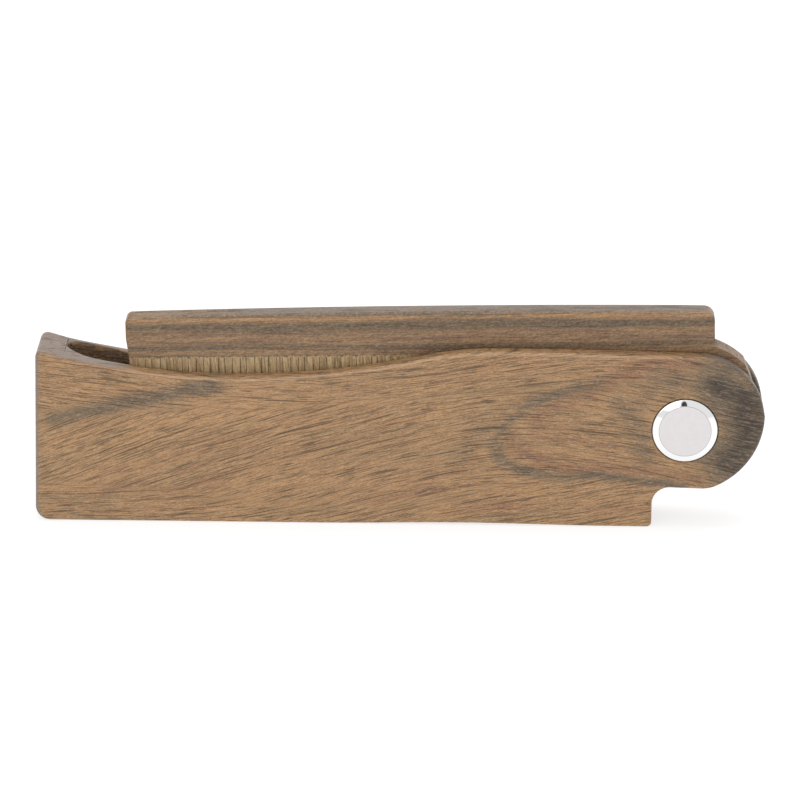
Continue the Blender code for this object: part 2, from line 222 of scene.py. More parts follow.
# Strokes of colour in the handle's wood: tint, strength, half width, then the stroke's x and z in millimetres
STROKES = (
    ("slate", 0.95, 1.5, ((-57, 17.8), (-52, 19), (-46, 20.5), (-41, 21.5), (-35, 23), (-30, 24))),
    ("slate", 0.60, 0.7, ((-54, 19.4), (-48, 19.5))),
    ("slate", 0.50, 0.8, ((-45, 21.6), (-39, 21.2))),
    ("slate", 0.35, 1.0, ((-60, 1.2), (-48, 0.8))),
    ("slate", 0.85, 1.1, ((33, 25.1), (26.5, 23.3), (21.5, 21.2), (17.8, 18), (15.8, 14.5), (17, 11.4))),
    ("slate", 0.85, 0.9, ((17, 11.4), (20.5, 9.4), (26.5, 8.5), (33, 9.1), (39.5, 8.3), (47, 7.3))),
    ("slate", 0.40, 2.2, ((10, 12), (12.5, 16.2), (18, 20.5), (24, 23.3))),
    ("slate", 0.60, 2.2, ((39.5, 22), (42, 25), (48, 26), (53, 25.3))),
    ("slate", 0.65, 2.4, ((36.5, 21.5), (39.5, 17), (40.5, 12.5))),
    ("slate", 1.30, 5.5, ((53, 25), (57, 22), (58, 16.5), (55, 12))),
    ("slate", 0.25, 1.5, ((-12, 25), (-4, 26), (3, 27.2))),
    ("red", 0.50, 1.0, ((-52, 26.2), (-47, 26.4))),
    ("red", 0.45, 0.8, ((-59, 24.6), (-53, 24.8))),
    ("red", 0.60, 1.3, ((-58, 3.0), (-49.5, 4.6), (-43, 7.2))),
    ("red", 0.40, 1.5, ((-44, 4.5), (-30, 7.0))),
    ("red", 0.55, 1.2, ((-36.5, 9), (-24.5, 13.3))),
    ("red", 0.50, 1.0, ((-23, 11.2), (-11.5, 14.4), (0, 17.3))),
    ("red", 0.45, 0.8, ((-15, 10.2), (-8, 11.6), (0, 14.2))),
    ("red", 0.55, 0.9, ((-7, 4.2), (0, 5.6), (7, 6.9))),
    ("red", 0.45, 1.0, ((7, 5.2), (14, 3.8), (21, 3.2))),
    ("red", 0.45, 1.1, ((1, 16.1), (5, 21.4), (11.5, 26.4), (17, 28.6))),
    ("red", 0.85, 1.9, ((22.5, 18.8), (27, 21.5), (33, 24.6), (41, 28.0), (48, 28.8))),
    ("red", 0.90, 1.2, ((18, 15.9), (20.6, 12.8), (26.5, 10.3), (39.5, 9.9), (50, 8.6))),
    ("red", 0.50, 3.0, ((23, 16.5), (34, 15))),
    ("red", 0.40, 1.2, ((22, 3.5), (30, 3.2), (38, 4.0))),
    ("gold", 0.75, 2.4, ((-57, 12), (-46, 15.6), (-33, 18.6), (-22, 20))),
    ("gold", 0.50, 1.0, ((-58, 7.2), (-49.5, 8.8))),
    ("gold", 0.60, 1.5, ((0, 23.6), (10, 24.2), (20, 27.1), (27, 28.6))),
    ("gold", 0.45, 1.8, ((-28, 6.2), (-16.5, 8.4), (-5, 9.4))),
    ("gold", 0.55, 1.6, ((8, 7.6), (23, 6.2), (34, 6.6))),
    ("gold", 0.55, 2.0, ((26, 17.4), (33, 14.7))),
    ("gold", 0.45, 2.0, ((-12, 18), (0, 21), (8, 20.5))),
)

# Colours of the wood
GOLD = (0.500, 0.260, 0.103)
RED = (0.262, 0.100, 0.043)
SLATE = (0.056, 0.050, 0.040)
OLIVE = (0.320, 0.182, 0.080)
PORE = (0.035, 0.022, 0.013)
PALE = (0.600, 0.400, 0.222)
# Painted shade for the slot's walls
SLOT_SHADE_PAINT = (0.026, 0.012, 0.007)
# Painted highlight for the near face's top edge
EDGE_HIGHLIGHT_PAINT = (0.560, 0.370, 0.220)
# Painted sheen for the rims
RIM_SHEEN_PAINT = (0.210, 0.172, 0.152)
# Dark grey for the rims of the round end
RIM_DARK = (0.105, 0.082, 0.070)
SPINE_RED = (0.200, 0.098, 0.052)
TANG_GREY = (0.11, 0.125, 0.135)
STRIPE = (0.050, 0.040, 0.026)
TOOTH_BROWN = (0.33, 0.215, 0.10)
TOOTH_GOLD = (0.58, 0.42, 0.215)

# Colours of the metal: dull and bright part of the face, ring round it, and a painted dark line between them,
# where the mesh has no groove
STEEL_DULL = (0.68, 0.65, 0.655)
STEEL_BRIGHT = (0.70, 0.675, 0.68)
STEEL_RING = (0.90, 0.90, 0.90)
STEEL_DARK_LINE = (0.25, 0.24, 0.24)

# Tints of the handle's strokes: place in the stored tint, colour, start, full and strength
TINTS = (
    (2, GOLD, 0.15, 0.85, 0.75),
    (1, RED, 0.20, 0.90, 0.92),
    (0, SLATE, 0.20, 0.85, 0.92),
)

# Finish of all wood: strengths of the dark and pale part of fibres and specks, and of flecks
FIBRE_MIX = (0.38, 0.20)
SPECK_MIX = (0.20, 0.16)
FLECK_MIX = 0.34
WOOD_ROUGHNESS = 0.40
PORE_ROUGHNESS = 0.3
RELIEF_STRENGTH = 0.4
RELIEF_HEIGHT = 0.05 * MM

# Painted sheen and dark grey on the handle's rims, and its painted edge highlight, from start to full: how
# far a surface turns from the cheek, or x in millimetres
RIM_TURN = (0.075, 0.375)
END_TURN = (0.03, 0.18)
LINE_TURN = (0.016, 0.096)
LINE_END_TURN = (0.16, 0.38)
LILAC_LEFT_OF = (42, 48)
DARK_RIM_X = (48, 54)
LINE_END_X = (40, 52)
LINE_ABOVE = 18

# Left end of the handle: where its band of painted sheen starts and ends, and how much of it the end face
# keeps
END_FROM_X = -59.0
END_BAND = (-0.75, -0.35)
END_FACE_DEPTH = 0.12
END_FACE_SHARE = 0.45

# Painted sheen on the comb's back, and its grey tang, from start to full
BACK_TURN = (0.72, 0.92)
BACK_ABOVE = 35
TANG_TURN = (0.3, 0.6)
TANG_GREY_X = (51.5, 52.5)
TANG_GREY_Z = (24.5, 28.5)

# Slant of the comb's fibres and height of its golden line, a painted highlight where the back's rounding
# meets the front face, in millimetres where X is 0
FIBRE_SLANT = 0.35
BACK_HIGHLIGHT_HEIGHT = 34.9

# Dark stripes along the comb's back: height where X is 0 and half height in millimetres, and strength
STRIPES = (
    (35.65, 0.55, 0.75),
    (33.55, 1.15, 0.95),
    (30.0, 0.75, 0.80),
)

# Height of the teeth's top where X is 0, in millimetres
SEAM_HEIGHT = (PIVOT_Z + ROOT_LINE / math.cos(COMB_TILT)) / MM - PIVOT_X / MM * math.tan(COMB_TILT)


def arc(centre, radius, start, end, steps):
    """Points along an arc, from one angle in degrees to another."""
    points = []
    for step in range(steps + 1):
        angle = math.radians(start + (end - start) * step / steps)
        points.append((centre[0] + radius * math.cos(angle), centre[1] + radius * math.sin(angle)))
    return points


def smooth_through(rows, steps):
    """Points on a smooth curve that passes through every row."""
    count = len(rows)
    slopes = []
    for index in range(count):
        before = rows[max(index - 1, 0)]
        after = rows[min(index + 1, count - 1)]
        slopes.append((Vector(after) - Vector(before)) / 2)
    points = [tuple(rows[0])]
    for index in range(count - 1):
        start = Vector(rows[index])
        end = Vector(rows[index + 1])
        reach = (end - start).length
        leave = slopes[index].normalized() * reach
        arrive = slopes[index + 1].normalized() * reach
        for step in range(1, steps + 1):
            t = step / steps
            point = (2 * t**3 - 3 * t**2 + 1) * start + (t**3 - 2 * t**2 + t) * leave
            point += (3 * t**2 - 2 * t**3) * end + (t**3 - t**2) * arrive
            points.append(tuple(point))
    return points


def spaced(points, gap):
    """The outline with no two points closer than the gap."""
    kept = [points[0]]
    for point in points[1:]:
        if (Vector(point) - Vector(kept[-1])).length > gap:
            kept.append(point)
    if (Vector(kept[0]) - Vector(kept[-1])).length < gap:
        kept.pop()
    return kept


def plate(outline, thickness):
    """A bmesh plate with a flat outline in X and Z, centred on Y = 0, one face on each side."""
    solid = bmesh.new()
    half = thickness / 2
    near = [solid.verts.new((x, -half, z)) for x, z in outline]
    far = [solid.verts.new((x, half, z)) for x, z in outline]
    solid.faces.new(near)
    solid.faces.new(far[::-1])
    count = len(outline)
    for index in range(count):
        after = (index + 1) % count
        solid.faces.new((near[after], near[index], far[index], far[after]))
    bmesh.ops.recalc_face_normals(solid, faces=solid.faces)
    return solid


def bevel_edges(solid, edges, radius, segments):
    """Rounds edges without clamping the radius."""
    bmesh.ops.bevel(
        solid, geom=edges, offset=radius, segments=segments, profile=0.5, affect="EDGES",
        clamp_overlap=False, loop_slide=True,
    )


def cap_edges(solid, half):
    """The edges that border the two flat faces at +-half."""
    found = []
    for edge in solid.edges:
        if all(abs(abs(vert.co.y) - half) < 1e-7 for vert in edge.verts) and len(edge.link_faces) == 2:
            flat = [abs(face.normal.y) > 0.99 for face in edge.link_faces]
            if flat[0] != flat[1]:
                found.append(edge)
    return found


def new_object(name, solid):
    """Makes an object from a bmesh and frees it."""
    mesh = bpy.data.meshes.new(name)
    solid.to_mesh(mesh)
    solid.free()
    obj = bpy.data.objects.new(name, mesh)
    bpy.context.scene.collection.objects.link(obj)
    return obj


def rod(radius, low_y, high_y, x, z, steps=96):
    """A cylinder along Y as a bmesh."""
    solid = bmesh.new()
    bmesh.ops.create_cone(
        solid, cap_ends=True, segments=steps, radius1=radius, radius2=radius, depth=high_y - low_y
    )
    bmesh.ops.rotate(solid, matrix=Matrix.Rotation(math.radians(90), 3, "X"), verts=solid.verts)
    bmesh.ops.translate(solid, vec=(x, (low_y + high_y) / 2, z), verts=solid.verts)
    return solid


def cut(obj, cutters):
    """Subtracts each cutter from an object's mesh, and removes the cutters."""
    for cutter in cutters:
        modifier = obj.modifiers.new("cut", "BOOLEAN")
        modifier.operation = "DIFFERENCE"
        modifier.solver = "EXACT"
        modifier.object = cutter
    depsgraph = bpy.context.evaluated_depsgraph_get()
    mesh = bpy.data.meshes.new_from_object(obj.evaluated_get(depsgraph))
    obj.modifiers.clear()
    obj.data = mesh
    for cutter in cutters:
        bpy.data.objects.remove(cutter)


def slice_grid(solid, low, high, gaps):
    """Cuts the mesh along evenly spaced planes, so that its flat faces hold enough points."""
    for axis, gap in zip((0, 2), gaps):
        count = int((high[axis] - low[axis]) / gap)
        normal = Vector((0, 0, 0))
        normal[axis] = 1
        for step in range(1, count + 1):
            point = Vector(low)
            point[axis] = low[axis] + (high[axis] - low[axis]) * step / (count + 1)
            geometry = list(solid.verts) + list(solid.edges) + list(solid.faces)
            bmesh.ops.bisect_plane(solid, geom=geometry, dist=1e-7, plane_co=point, plane_no=normal)


def shade(obj, angle=35):
    """Smooth shading with sharp edges by angle and normals that follow the large faces."""
    obj.data.shade_smooth()
    obj.data.set_sharp_from_angle(angle=math.radians(angle))
    weighted = obj.modifiers.new("normals", "WEIGHTED_NORMAL")
    weighted.mode = "FACE_AREA"
    weighted.weight = 100
    weighted.keep_sharp = True


def handle_outline():
    """The cheeks' outline, counter-clockwise from the bottom left corner."""
    left = -HANDLE_LENGTH / 2
    right = HANDLE_LENGTH / 2
    low_corner = (left + BOTTOM_CORNER_RADIUS, BOTTOM_CORNER_RADIUS)
    points = arc(low_corner, BOTTOM_CORNER_RADIUS, 180, 270, 10)
    arch_from, arch_to, arch_height = BOTTOM_ARCH
    for step in range(1, 30):
        x = arch_from + (arch_to - arch_from) * step / 30
        points.append((x * MM, arch_height * MM * math.sin(math.pi * step / 30) ** 2))
    step_corner = (COVE_X - COVE_RADIUS - STEP_ROUNDING, STEP_ROUNDING)
    points += arc(step_corner, STEP_ROUNDING, 270, 360, 8)
    points += arc((COVE_X, COVE_Z), COVE_RADIUS, 180, 90, 26)

    lower_centre = (right - LOWER_ARC_RADIUS, ROUND_END_HEIGHT)
    lobe_z = LOBE_BOTTOM + LOBE_RADIUS
    drop = lower_centre[1] - lobe_z
    reach = LOWER_ARC_RADIUS - LOBE_RADIUS
    touch = -math.degrees(math.asin(drop / reach))
    lobe_x = lower_centre[0] + reach * math.cos(math.radians(touch))
    points += arc((lobe_x, lobe_z), LOBE_RADIUS, -90, touch, 6)
    points += arc(lower_centre, LOWER_ARC_RADIUS, touch, 0, 26)[1:]
    upper_centre = (right - UPPER_ARC_RADIUS, UPPER_ARC_TOP - UPPER_ARC_RADIUS)
    join = math.degrees(math.asin((ROUND_END_HEIGHT - upper_centre[1]) / UPPER_ARC_RADIUS))
    points += arc(upper_centre, UPPER_ARC_RADIUS, join, 90, 32)[1:-1]

    top = [(x * MM, z * MM) for x, z in TOP_EDGE]
    points += reversed(smooth_through(top, 10))
    high_corner = (left + END_LEAN + TOP_CORNER_RADIUS, TOP_CORNER_HEIGHT)
    points += arc(high_corner, TOP_CORNER_RADIUS, 75, 180, 10)
    return spaced(points, 0.05 * MM)


def slot_cutter():
    """The slot, open at the top and at the round end, with a narrowed round left end."""
    right = HANDLE_LENGTH / 2 + 2 * MM
    radius = SLOT_WIDTH / 2
    left = smooth_through(SLOT_FAR + SLOT_NEAR, 5)
    plan = [(right, -radius), (right, radius)] + [(x * MM, y * MM) for x, y in left]
    top = max(z for x, z in TOP_EDGE) * MM + 2 * MM
    solid = plate([(x, -y) for x, y in plan], top - SLOT_FLOOR)
    bmesh.ops.rotate(solid, matrix=Matrix.Rotation(math.radians(90), 3, "X"), verts=solid.verts)
    bmesh.ops.translate(solid, vec=(0, 0, (top + SLOT_FLOOR) / 2), verts=solid.verts)
    return new_object("slot_cutter", solid)


def rim_edges(solid):
    """The edges where the slot's walls meet the outside of the handle."""
    half = -min(y for x, y in SLOT_NEAR) * MM + 1.0 * MM
    found = []
    for edge in solid.edges:
        if len(edge.link_faces) != 2:
            continue
        angle = edge.calc_face_angle(0)
        middle = (edge.verts[0].co + edge.verts[1].co) / 2
        inside = all(abs(vert.co.y) < half + 1e-6 for vert in edge.verts)
        upright = abs(edge.verts[0].co.z - edge.verts[1].co.z) > 0.95 * edge.calc_length() and middle.x < 0
        if angle > math.radians(50) and inside and middle.z > SLOT_FLOOR + 0.1 * MM and not upright:
            if (middle - Vector((PIVOT_X, middle.y, PIVOT_Z))).length > HEAD_RADIUS:
                found.append(edge)
    return found


def make_handle():
    """The slotted wooden handle."""
    solid = plate(handle_outline(), HANDLE_THICKNESS)
    bevel_edges(solid, cap_edges(solid, HANDLE_THICKNESS / 2), HANDLE_EDGE_RADIUS, 6)
    handle = new_object("handle_wood_body", solid)
    half = HANDLE_THICKNESS / 2
    seat_depth = HEAD_THICKNESS - HEAD_PROUD + SEAT_CLEARANCE
    seat_radius = HEAD_RADIUS + SEAT_CLEARANCE
    bore_radius = POST_RADIUS + BORE_CLEARANCE
    cutters = [
        slot_cutter(),
        new_object("bore_cutter", rod(bore_radius, -half - MM, half + MM, PIVOT_X, PIVOT_Z)),
        new_object("near_seat", rod(seat_radius, -half - MM, -half + seat_depth, PIVOT_X, PIVOT_Z)),
        new_object("far_seat", rod(seat_radius, half - seat_depth, half + MM, PIVOT_X, PIVOT_Z)),
    ]
    cut(handle, cutters)
    solid = bmesh.new()
    solid.from_mesh(handle.data)
    bmesh.ops.remove_doubles(solid, verts=solid.verts, dist=1e-6)
    bevel_edges(solid, rim_edges(solid), SLOT_EDGE_RADIUS, 4)
    bmesh.ops.triangulate(solid, faces=solid.faces)
    half_length = HANDLE_LENGTH / 2
    slice_grid(solid, (-half_length, 0, 0), (half_length, 0, HANDLE_TOP), HANDLE_GRID)
    solid.to_mesh(handle.data)
    solid.free()
    shade(handle)
    return handle


def along_x(x, row):
    """The row's value at each x in millimetres."""
    return np.interp(x, GRAIN_X, row)


def climbed(x, rises):
    """How far a grain line has climbed at each x, from rises given at the X of GRAIN_X."""
    fine = np.linspace(GRAIN_X[0] - 1, GRAIN_X[-1] + 1, 245)
    window = np.hanning(27)
    slope = np.pad(np.interp(fine, GRAIN_X, rises), 12, mode="edge")
    slope = np.convolve(slope, window[1:-1] / window.sum(), "valid")
    step = fine[1] - fine[0]
    height = np.concatenate([[0.0], np.cumsum((slope[1:] + slope[:-1]) / 2) * step])
    return np.interp(x, fine, height - np.interp(0.0, fine, height))


def rise(value, low, high):
    """0 below low, 1 above high and a smooth rise between."""
    value = np.clip((value - low) / (high - low), 0, 1)
    return value * value * (3 - 2 * value)


def stroke_distance(x, z, points):
    """Distance in millimetres from each point to a stroke of straight runs."""
    nearest = np.full(len(x), np.inf)
    for (x0, z0), (x1, z1) in zip(points, points[1:]):
        run_x, run_z = x1 - x0, z1 - z0
        share = ((x - x0) * run_x + (z - z0) * run_z) / (run_x**2 + run_z**2)
        share = np.clip(share, 0, 1)
        nearest = np.minimum(nearest, np.hypot(x - x0 - share * run_x, z - z0 - share * run_z))
    return nearest


def store(mesh, name, columns):
    """Stores a vector of three columns at every point of a mesh."""
    values = np.stack(columns, axis=1).astype(np.float32)
    mesh.attributes.new(name, "FLOAT_VECTOR", "POINT").data.foreach_set("vector", values.ravel())


def turned_away(mesh):
    """How far the surface turns away from the cheeks' flat faces at each point, from 0 to 1."""
    normals = np.zeros(len(mesh.vertices) * 3, np.float32)
    mesh.vertex_normals.foreach_get("vector", normals)
    return 1 - np.abs(normals.reshape(-1, 3)[:, 1])


def places(mesh):
    """X, Y and Z of every point, in millimetres."""
    points = np.zeros(len(mesh.vertices) * 3, np.float32)
    mesh.vertices.foreach_get("co", points)
    return (points.reshape(-1, 3) / MM).T.astype(float)


def inside_slot(x, y, z):
    """Which points lie on the slot's walls, below their rims, where the slot gets its painted shade."""
    half = SLOT_WIDTH / 2 / MM
    half = np.where(x < SLOT_FAR[0][0], half + DARK_PAST_LEFT_WALL, half + DARK_PAST_WALL)
    top = np.interp(x, [row[0] for row in TOP_EDGE], [row[1] for row in TOP_EDGE])
    low_enough = (z < top - DARK_BELOW) | (x > DARK_RIGHT_OF)
    return (np.abs(y) < half) & (z > SLOT_FLOOR / MM - 0.1) & (x > SLOT_END_X / MM - 0.1) & low_enough


def write_grain(mesh):
    """Stores the grain fields, their shares, the tints and the rims' painted sheen, dark grey and painted
    edge highlight at every point of the handle.
    """
    x, y, z = places(mesh)
    for name, rises in (("upper", UPPER_RISE), ("main", MAIN_RISE), ("low", LOW_RISE)):
        store(mesh, name, (x, z - climbed(x, rises) + GRAIN_LIFT * y, y))
    upper = rise(z - along_x(x, UPPER_FROM), -FIELD_BLEND, FIELD_BLEND)
    low = rise(along_x(x, LOW_UNTIL) - z, -FIELD_BLEND, FIELD_BLEND)
    inside = inside_slot(x, y, z)
    # The third share marks the slot's walls, which get painted shade
    store(mesh, "share", (upper, low, inside.astype(float)))
    tints = {name: np.zeros(len(x)) for name in ("slate", "red", "gold")}
    for name, strength, half, line in STROKES:
        reach = strength * np.exp(-((stroke_distance(x, z, line) / half) ** 2))
        tints[name] = np.maximum(tints[name], reach)
    store(mesh, "tint", (tints["slate"], tints["red"], tints["gold"]))
    write_rims(mesh, inside)


def write_rims(mesh, inside):
    """Stores the painted lilac sheen on the handle's left rims, the dark grey on its right rims and its
    painted edge highlight.
    """
    x, y, z = places(mesh)
    turn = turned_away(mesh)
    end = -HANDLE_LENGTH / 2 / MM + END_LEAN * z / TOP_CORNER_HEIGHT
    turned_rims = rise(turn, *RIM_TURN) * ~inside
    band = np.maximum(rise(turn, *END_TURN), rise(end - x, *END_BAND))
    turned_rims = np.where(x < END_FROM_X, band, turned_rims)
    turned_rims = np.where((x < end + END_FACE_DEPTH) & (turn > 0.9), END_FACE_SHARE * turned_rims, turned_rims)
    # Painted highlight line along the near face's top edge
    line = rise(turn, *LINE_TURN) * (1 - rise(turn, *LINE_END_TURN)) * (z > LINE_ABOVE) * (y < 0)
    # Painted sheen: lilac-grey on the rims left of the round end
    sheen_share = turned_rims * rise(-x, *LILAC_LEFT_OF)
    store(mesh, "rim", (sheen_share, turned_rims * rise(x, *DARK_RIM_X), line * (1 - rise(x, *LINE_END_X))))


class Nodes:
    """Short ways to add shader nodes to one material."""

    def __init__(self, name):
        self.material = bpy.data.materials.new(name)
        self.material.use_nodes = True
        self.tree = self.material.node_tree
        self.shader = self.tree.nodes["Principled BSDF"]

    def put(self, socket, value):
        """Links an output to a socket, or sets the socket's value."""
        if isinstance(value, bpy.types.NodeSocket):
            self.tree.links.new(value, socket)
        else:
            socket.default_value = value

    def attribute(self, name):
        """A vector stored on the mesh."""
        node = self.tree.nodes.new("ShaderNodeAttribute")
        node.attribute_name = name
        return node.outputs["Vector"]

    def object_place(self):
        """The point's place in its object."""
        return self.tree.nodes.new("ShaderNodeTexCoord").outputs["Object"]

    def split(self, vector):
        """The three parts of a vector."""
        node = self.tree.nodes.new("ShaderNodeSeparateXYZ")
        self.put(node.inputs[0], vector)
        return node.outputs

    def vector(self, x, y, z):
        """A vector from three parts."""
        node = self.tree.nodes.new("ShaderNodeCombineXYZ")
        for socket, value in zip(node.inputs, (x, y, z)):
            self.put(socket, value)
        return node.outputs[0]

    def scaled(self, vector, scale, offset=(0, 0, 0)):
        """A vector times a scale, plus an offset."""
        node = self.tree.nodes.new("ShaderNodeVectorMath")
        node.operation = "MULTIPLY_ADD"
        self.put(node.inputs[0], vector)
        node.inputs[1].default_value = scale
        node.inputs[2].default_value = offset
        return node.outputs[0]

    def moved(self, vector, offset):
        """The sum of two vectors."""
        node = self.tree.nodes.new("ShaderNodeVectorMath")
        node.operation = "ADD"
        self.put(node.inputs[0], vector)
        self.put(node.inputs[1], offset)
        return node.outputs[0]

    def blend(self, share, a, b):
        """A number between two others."""
        node = self.tree.nodes.new("ShaderNodeMix")
        self.put(node.inputs[0], share)
        self.put(node.inputs[2], a)
        self.put(node.inputs[3], b)
        return node.outputs[0]

    def ragged(self, marks):
        """An offset about 0 that frays the edge of a tint along the grain."""
        wide = self.math("SUBTRACT", marks["streak"], 0.5)
        fine = self.math("SUBTRACT", marks["fibre"], 0.5)
        return self.math("ADD", self.times(wide, 2.4), self.times(fine, 2.6))

    def times(self, a, b, clamp=False):
        """The product of two numbers."""
        return self.math("MULTIPLY", a, b, clamp)

    def inverse(self, a, clamp=False):
        """What is left of 1."""
        return self.math("SUBTRACT", 1.0, a, clamp)

    def gap(self, a, b):
        """The distance between two numbers."""
        return self.math("ABSOLUTE", self.math("SUBTRACT", a, b))

    def math(self, operation, a, b=0.0, clamp=False):
        """One sum, product or other operation on numbers."""
        node = self.tree.nodes.new("ShaderNodeMath")
        node.operation = operation
        node.use_clamp = clamp
        self.put(node.inputs[0], a)
        self.put(node.inputs[1], b)
        return node.outputs[0]

    def noise(self, vector, scale=1.0, detail=2.0, roughness=0.5, distortion=0.0):
        """A noise between 0 and 1."""
        node = self.tree.nodes.new("ShaderNodeTexNoise")
        self.put(node.inputs["Vector"], vector)
        node.inputs["Scale"].default_value = scale
        node.inputs["Detail"].default_value = detail
        node.inputs["Roughness"].default_value = roughness
        node.inputs["Distortion"].default_value = distortion
        return node.outputs["Fac"]

    def ramp(self, value, low, high):
        """The value spread from 0 at low to 1 at high, held at both ends."""
        node = self.tree.nodes.new("ShaderNodeMapRange")
        node.interpolation_type = "SMOOTHSTEP"
        self.put(node.inputs["Value"], value)
        node.inputs["From Min"].default_value = low
        node.inputs["From Max"].default_value = high
        return node.outputs["Result"]

    def mix(self, share, a, b, kind="MIX"):
        """One colour laid over another."""
        node = self.tree.nodes.new("ShaderNodeMix")
        node.data_type = "RGBA"
        node.blend_type = kind
        self.put(node.inputs[0], share)
        for socket, value in ((node.inputs[6], a), (node.inputs[7], b)):
            self.put(socket, (*value, 1.0) if isinstance(value, tuple) else value)
        return node.outputs[2]

    def bump(self, height, strength, distance):
        """A bumped normal."""
        node = self.tree.nodes.new("ShaderNodeBump")
        node.inputs["Strength"].default_value = strength
        node.inputs["Distance"].default_value = distance
        self.put(node.inputs["Height"], height)
        return node.outputs[0]


def grain_marks(n, grain, seed):
    """Streaks, fibres, pores, flecks and specks along one grain field, each between 0 and 1.

    The noises' scales are per millimetre along, across and through the grain.
    """
    wander = n.noise(n.scaled(grain, (0.045, 0.10, 0.1), (seed, 2, 5)), detail=2.0)
    wander = n.times(n.math("SUBTRACT", wander, 0.5), 1.6)
    grain = n.moved(grain, n.vector(0.0, wander, 0.0))
    marks = {}
    marks["streak"] = n.noise(n.scaled(grain, (0.03, 0.9, 0.3), (seed, 3, 1)), detail=5.0, roughness=0.72)
    marks["fibre"] = n.noise(n.scaled(grain, (0.5, 4.2, 1.5), (2, 9, seed)), detail=3.0, roughness=0.75)
    dash = n.ramp(n.noise(n.scaled(grain, (0.16, 1.6, 0.6), (5, seed, 8)), detail=2.0), 0.44, 0.62)
    across = n.split(grain)[1]
    line = 0.0
    for rate, start in ((1.15, 4), (0.70, 9)):
        bend = n.noise(n.scaled(grain, (0.03, 0.35, 0.2), (seed, start, 2)), detail=1.0, roughness=0.4)
        phase = n.math("ADD", n.times(across, rate), n.times(bend, 1.5))
        away = n.gap(n.math("FRACT", phase), 0.5)
        line = n.math("MAXIMUM", line, n.inverse(n.ramp(away, 0.0, 0.115)))
    short_pore = n.noise(n.scaled(grain, (0.30, 7.5, 2.0), (seed, 7, 2)), detail=1.0, roughness=0.4)
    short_pore = n.times(n.ramp(short_pore, 0.57, 0.66), 0.8)
    marks["pore"] = n.math("MAXIMUM", n.times(line, dash), short_pore)
    fleck = n.noise(n.scaled(grain, (0.9, 4.2, 2.0), (3, seed, 3)), detail=2.0, roughness=0.6)
    marks["fleck"] = n.ramp(fleck, 0.52, 0.72)
    speck = n.noise(n.scaled(grain, (2.2, 5.0, 2.5), (8, 1, seed)), detail=1.0, roughness=0.5)
    marks["speck"] = n.ramp(speck, 0.30, 0.70)
    return marks


def handle_wood():
    """Tan wood with red and slate figure, dark pore lines along the grain and a satin finish, with painted
    shade in the slot, painted sheen and dark grey on the rims and a painted edge highlight.
    """
    n = Nodes("handle_wood_finish")
    share = n.split(n.attribute("share"))
    tint = n.split(n.attribute("tint"))
    main = grain_marks(n, n.attribute("main"), 7)
    upper = grain_marks(n, n.attribute("upper"), 17)
    low = grain_marks(n, n.attribute("low"), 27)
    marks = {}
    for name in main:
        marks[name] = n.blend(share[1], n.blend(share[0], main[name], upper[name]), low[name])

    colour = n.mix(n.ramp(marks["streak"], 0.36, 0.60), OLIVE, GOLD)
    colour = n.mix(n.times(n.ramp(marks["streak"], 0.52, 0.66), 0.5), colour, RED)
    rag = n.ragged(marks)
    for part, over, start, full, strength in TINTS:
        reach = n.ramp(n.math("ADD", tint[part], rag), start, full)
        colour = n.mix(n.times(reach, strength), colour, over)
    deep = n.ramp(n.math("ADD", tint[0], n.times(rag, 0.5)), 0.92, 1.25)
    dark = n.inverse(n.times(n.ramp(marks["fibre"], 0.48, 0.60), 0.75))
    dark = n.times(deep, dark)
    colour = n.mix(dark, colour, PORE)
    # Painted shade darkens the slot's walls below their rims
    colour = n.mix(n.times(share[2], 0.85), colour, SLOT_SHADE_PAINT)
    rim = n.split(n.attribute("rim"))
    # Painted edge highlight, orange where the rims' painted sheen is
    edge_highlight = n.mix(n.times(rim[0], 4.0, clamp=True), EDGE_HIGHLIGHT_PAINT, RED)
    # Strength of the rim overlays, varying with the streaks and pores
    rim_strength = n.blend(n.ramp(marks["streak"], 0.36, 0.62), 0.65, 0.95)
    rim_strength = n.math("SUBTRACT", rim_strength, n.times(marks["pore"], 0.35))
    overlays = (
        (n.times(rim[2], 0.4), edge_highlight),
        # Painted sheen on the left rims
        (n.times(rim[0], rim_strength), RIM_SHEEN_PAINT),
        # Dark grey on the rims of the round end
        (n.times(rim[1], n.times(rim_strength, 0.8)), RIM_DARK),
    )
    return finish_wood(n, colour, marks, 0.8, overlays, n.mix(dark, PALE, SLATE))


def finish_wood(n, colour, marks, pore_depth, overlays=(), pale=PALE):
    """Adds fibres, specks, flecks, pores, the given overlays (painted sheen and highlights, dark grey rims or
    a dark seam), gloss and relief to a wood's colour.
    """
    fibre = n.ramp(marks["fibre"], 0.32, 0.68)
    for share, (dark, light) in ((fibre, FIBRE_MIX), (marks["speck"], SPECK_MIX)):
        colour = n.mix(share, n.mix(dark, colour, PORE), n.mix(light, colour, pale))
    colour = n.mix(n.times(marks["fleck"], FLECK_MIX), colour, pale)
    colour = n.mix(n.times(marks["pore"], pore_depth), colour, PORE)
    for share, over in overlays:
        colour = n.mix(share, colour, over)
    n.put(n.shader.inputs["Base Color"], colour)
    n.put(n.shader.inputs["Roughness"], n.math("ADD", WOOD_ROUGHNESS, n.times(marks["pore"], PORE_ROUGHNESS)))
    height = n.math("SUBTRACT", n.times(marks["fibre"], 0.5), marks["pore"])
    n.put(n.shader.inputs["Normal"], n.bump(height, RELIEF_STRENGTH, RELIEF_HEIGHT))
    return n.material


def back_top(u):
    """Height of the comb's crowned back at u."""
    middle = (BACK_LEFT + BACK_RIGHT) / 2
    half = (BACK_RIGHT - BACK_LEFT) / 2
    return BACK_TOP + BACK_CROWN * (1 - ((u - middle) / half) ** 2)


